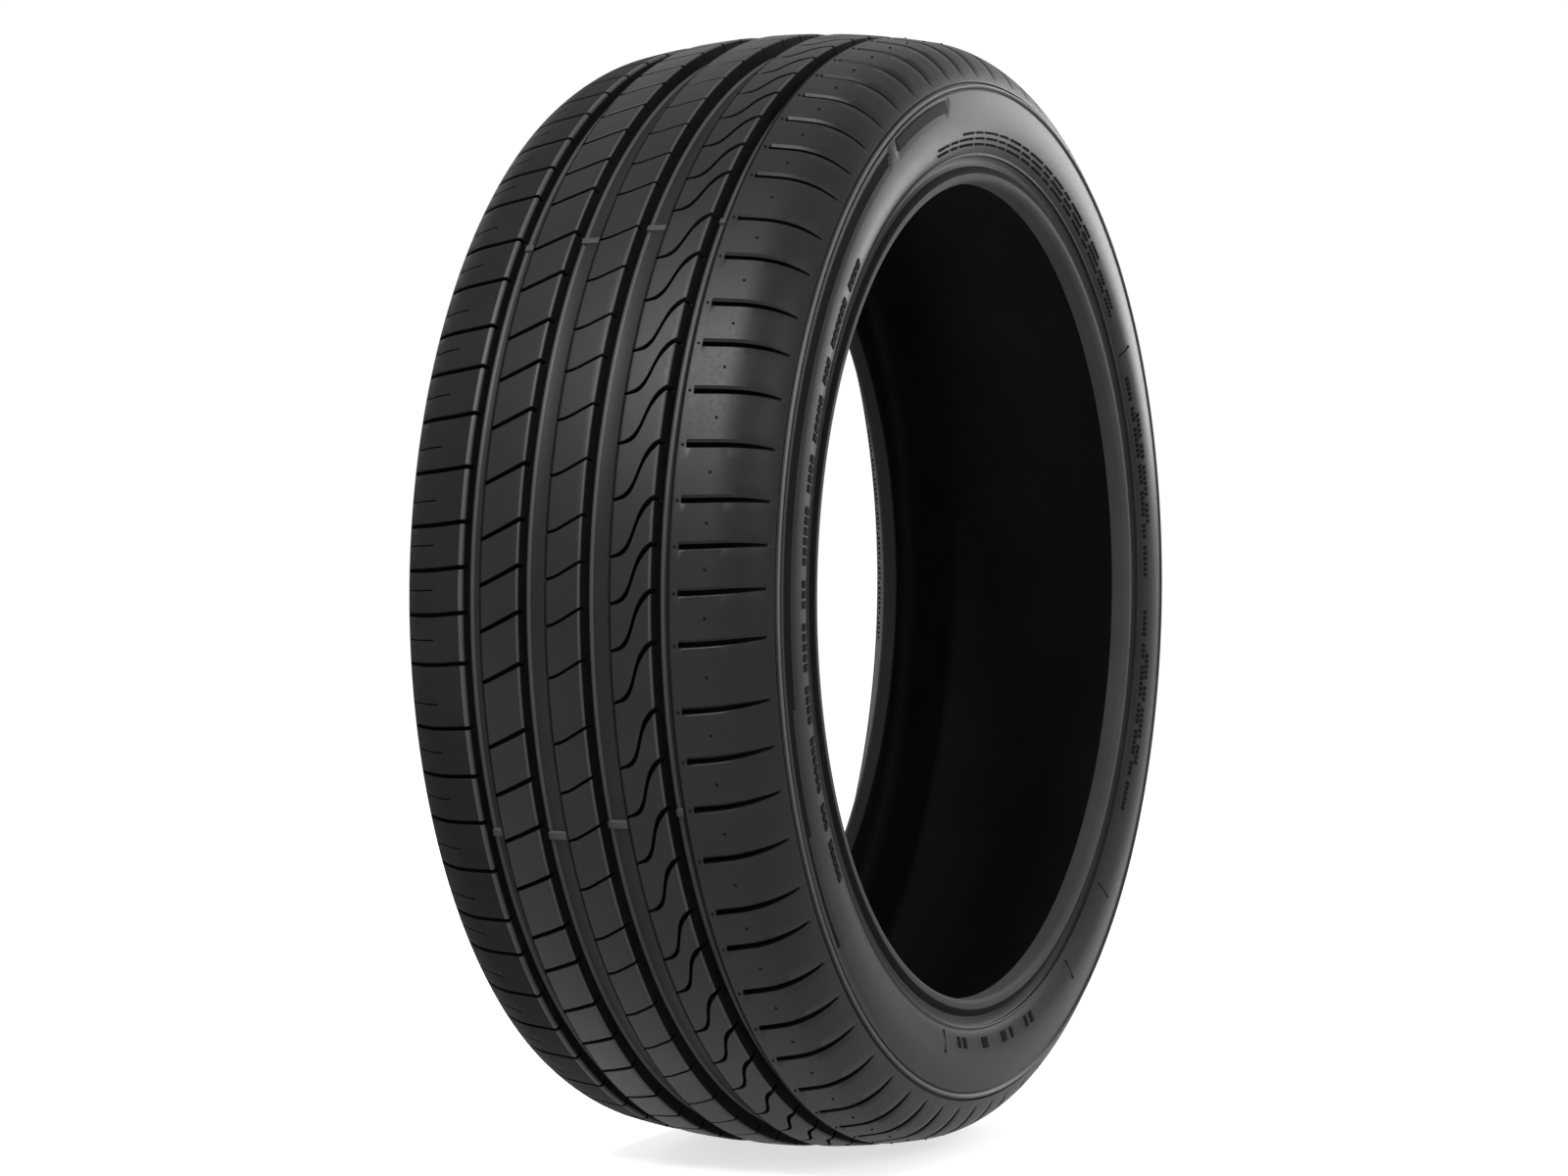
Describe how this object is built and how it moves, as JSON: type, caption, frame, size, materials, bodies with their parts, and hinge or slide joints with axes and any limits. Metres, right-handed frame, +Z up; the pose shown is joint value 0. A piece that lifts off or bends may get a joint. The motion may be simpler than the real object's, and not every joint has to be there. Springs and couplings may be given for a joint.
{
  "type": "car tyre",
  "caption": "Low-profile radial car tyre off its rim, with ring grooves, an asymmetric slit tread and an open bore between its beads.",
  "frame": {"origin": "on the wheel axis, in the middle plane of the tread", "axes": "Y is the wheel axis, with the near (outer) sidewall towards -Y. Z is up with the tyre upright, and X lies along the road."},
  "size_m": [0.6369, 0.21, 0.637],
  "materials": {
    "tyre_rubber": "matt moulded black rubber"
  },
  "bodies": {
    "root": {"tyre": "tyre_rubber"}
  },
  "joints": []
}
